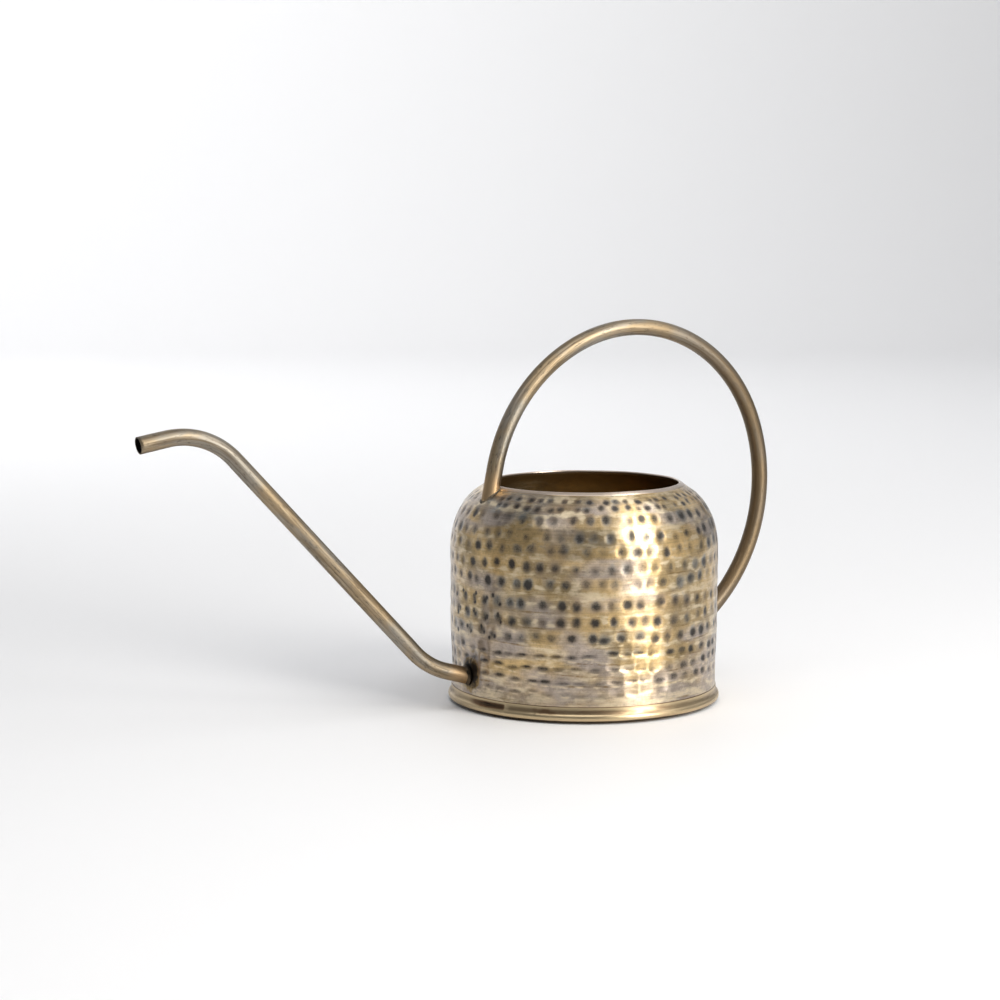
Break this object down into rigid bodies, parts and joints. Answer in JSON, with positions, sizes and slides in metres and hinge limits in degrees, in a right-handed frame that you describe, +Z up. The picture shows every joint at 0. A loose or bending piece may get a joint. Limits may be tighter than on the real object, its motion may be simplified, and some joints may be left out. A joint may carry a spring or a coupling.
{
  "type": "watering can",
  "caption": "Small hammered brass watering can with a wide round mouth, a long thin bent spout and a looped tube handle.",
  "frame": {"origin": "centre of the flat underside, on the body's axis", "axes": "+Z up along the body's axis, spout towards -X, back of the handle towards +X"},
  "size_m": [0.3524, 0.14, 0.1944],
  "materials": {
    "hammered_brass": "hammered, antiqued, lightly brushed",
    "smooth_brass": "smooth, antiqued, polished",
    "tube_brass": "drawn tube, antiqued, satin",
    "braze": "burnt, rough",
    "solder": "dull grey"
  },
  "bodies": {
    "root": {"body_shell": "hammered_brass", "base_plate": "smooth_brass", "foot_band": "smooth_brass", "base_solder_seam": "solder", "spout_tube": "tube_brass", "spout_braze": "braze", "handle_tube": "tube_brass", "handle_front_braze": "braze", "handle_rear_braze": "braze"}
  },
  "joints": []
}
